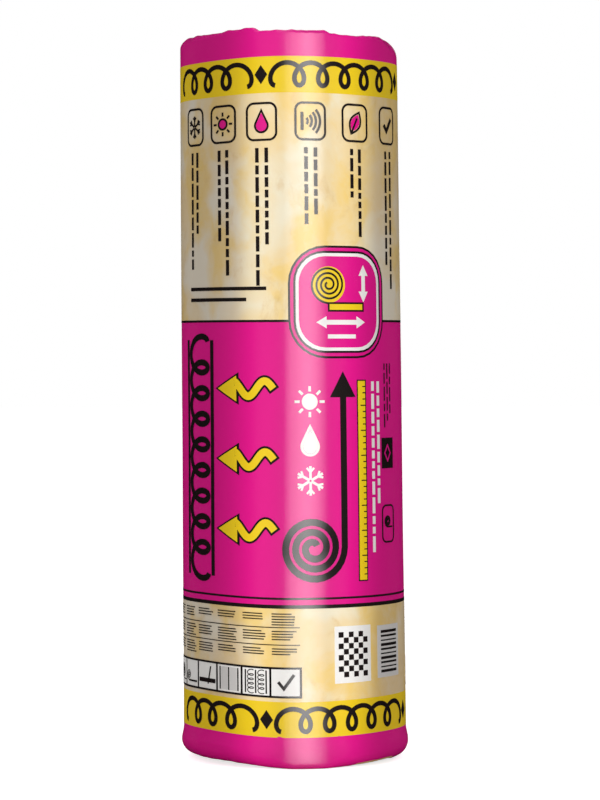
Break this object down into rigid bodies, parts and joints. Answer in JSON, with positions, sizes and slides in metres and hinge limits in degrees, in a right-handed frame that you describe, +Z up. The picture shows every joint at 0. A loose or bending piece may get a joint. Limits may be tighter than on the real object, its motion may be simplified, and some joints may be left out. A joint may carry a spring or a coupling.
{
  "type": "insulation roll",
  "caption": "Tall roll of glass wool insulation mat standing on end in a printed film sleeve, with its wound turns open at both ends.",
  "frame": {"origin": "centre of the roll's foot, on the floor it stands on", "axes": "+Z up the roll's axis, -Y towards the printed front, +Y towards the lap down the back"},
  "size_m": [0.3752, 0.3742, 1.2],
  "materials": {
    "glass_wool": "loose matted glass fibre",
    "printed_film": "satin printed film",
    "print_yellow": "satin printed film",
    "print_cream": "satin printed film",
    "print_black": "satin printed film",
    "print_white": "satin printed film"
  },
  "bodies": {
    "root": {"wool_roll": "glass_wool", "film_sleeve": "printed_film"}
  },
  "joints": []
}
